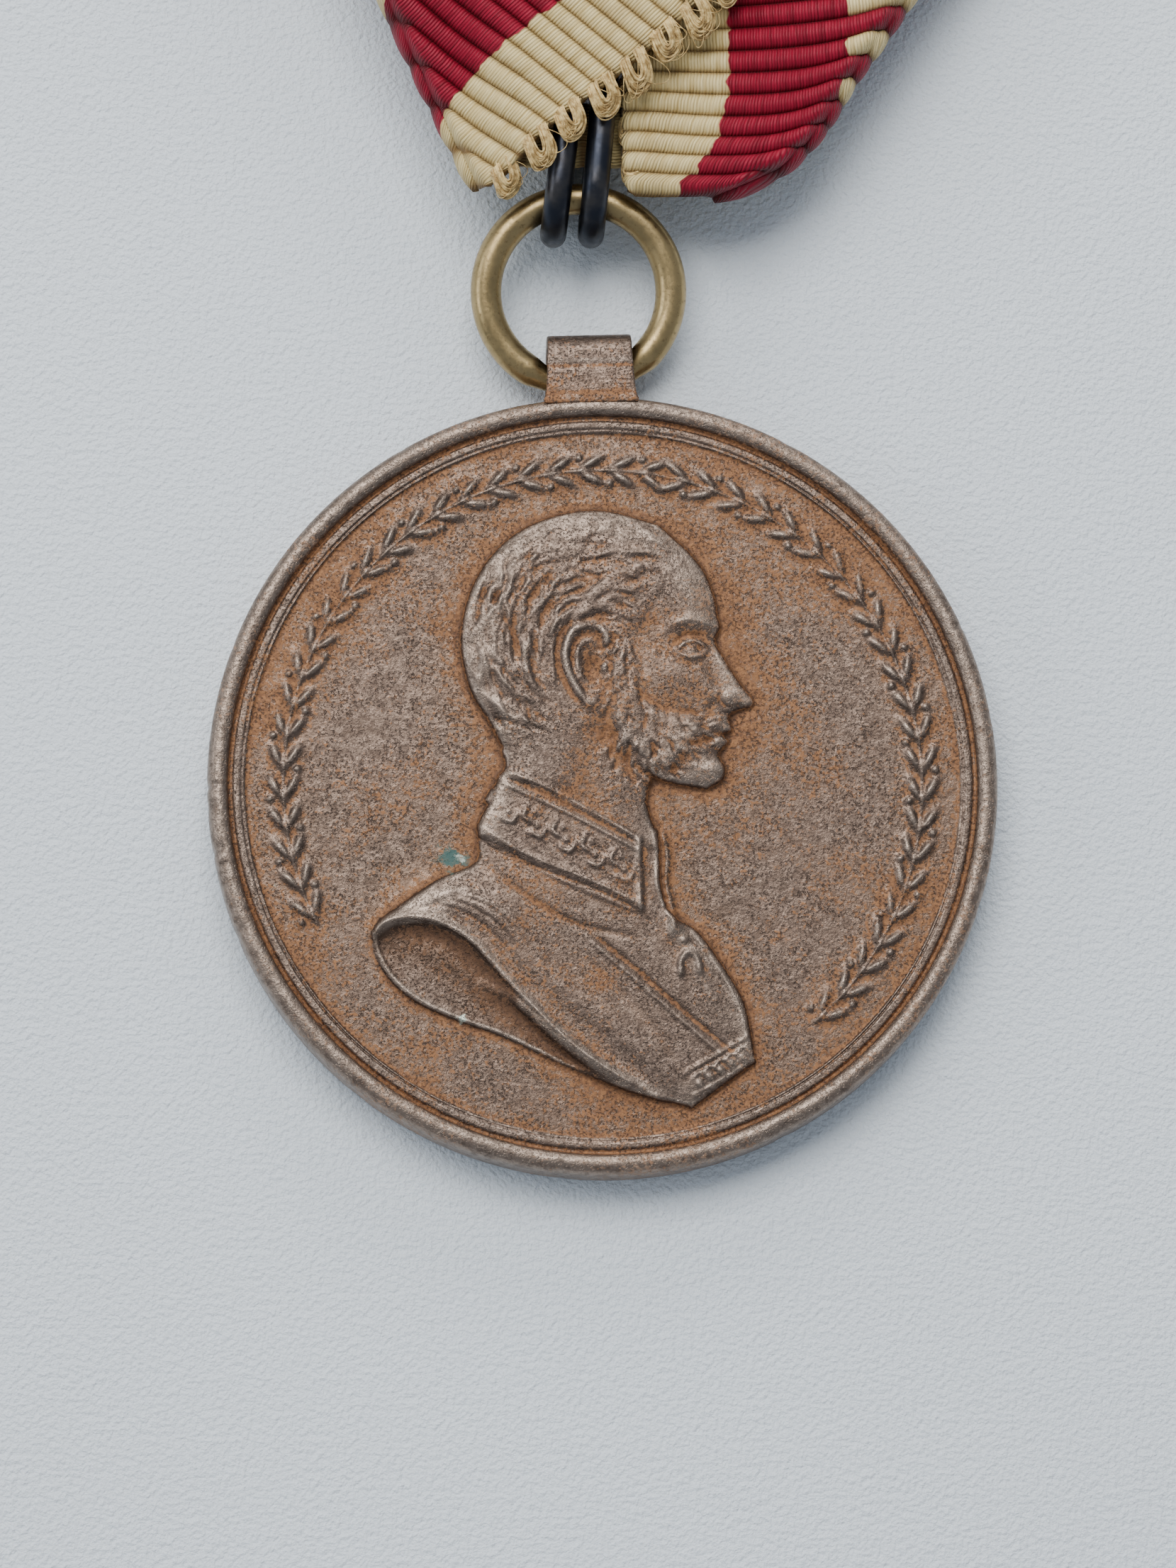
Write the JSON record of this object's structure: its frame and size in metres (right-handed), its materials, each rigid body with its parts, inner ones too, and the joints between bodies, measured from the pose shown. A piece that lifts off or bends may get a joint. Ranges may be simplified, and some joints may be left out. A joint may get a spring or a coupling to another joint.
{
  "type": "medal",
  "caption": "Round struck bronze medal on a ring and wire links, with a folded triangular ribbon that a brooch pin holds to a coat.",
  "frame": {"origin": "middle of the area the medal covers, on the surface it lies on", "axes": "+Y from the disc towards the ribbon, +Z out of the face, +X to the right across the face"},
  "size_m": [0.0576, 0.0808, 0.0064],
  "materials": {
    "bronze": "struck bronze with a worn brown patina, orange-brown in the recesses",
    "ring_brass": "aged olive brass wire",
    "black_steel": "blackened, glossy steel wire",
    "ribbon_silk": "ribbed silk in crimson and cream stripes",
    "stiffener_card": "plain card",
    "brooch_brass": "dull brass",
    "thread": "cotton sewing thread"
  },
  "bodies": {
    "ribbon": {"ribbon": "ribbon_silk", "ribbon_stiffener": "stiffener_card", "flap_stitch_1": "thread", "flap_stitch_2": "thread", "flap_stitch_3": "thread", "brooch_plate": "brooch_brass", "hinge_rivet": "brooch_brass", "hinge_spacer": "brooch_brass", "catch_hook": "brooch_brass", "brooch_stitch_1": "thread", "brooch_stitch_2": "thread", "brooch_stitch_3": "thread", "brooch_stitch_4": "thread"},
    "brooch_pin": {"pin_stem": "brooch_brass"},
    "link_left": {"wire_link_left": "black_steel"},
    "link_right": {"wire_link_right": "black_steel"},
    "ring": {"suspension_ring": "ring_brass"},
    "medal": {"medal_disc": "bronze", "suspension_loop": "bronze"}
  },
  "joints": [
    {"name": "link_rock", "type": "hinge", "parent": "ribbon", "child": "link_left", "pos_m": [-0.00475, 0.0034, 0.00315], "axis": [1, 0, 0], "range_deg": [-4, 4]},
    {"name": "link_right_rock", "type": "hinge", "parent": "ribbon", "child": "link_right", "pos_m": [-0.00475, 0.0034, 0.00315], "axis": [1, 0, 0], "range_deg": [-4, 4]},
    {"name": "ring_swing", "type": "hinge", "parent": "link_left", "child": "ring", "pos_m": [-0.00473, -0.00145, 0.0026], "axis": [1, 0, 0], "range_deg": [-50, 90]},
    {"name": "medal_swing", "type": "hinge", "parent": "ring", "child": "medal", "pos_m": [-0.00426, -0.00866, 0.00125], "axis": [-0.9919, -0.1249, -0.0234], "range_deg": [-85, 85]},
    {"name": "pin_open", "type": "hinge", "parent": "ribbon", "child": "brooch_pin", "pos_m": [-0.01231, 0.0281, 0.00105], "axis": [0, 0, 1], "range_deg": [0, 60]}
  ],
  "couplings": [
    {"joint": "link_right_rock", "follows": "link_rock", "ratio": 1}
  ]
}
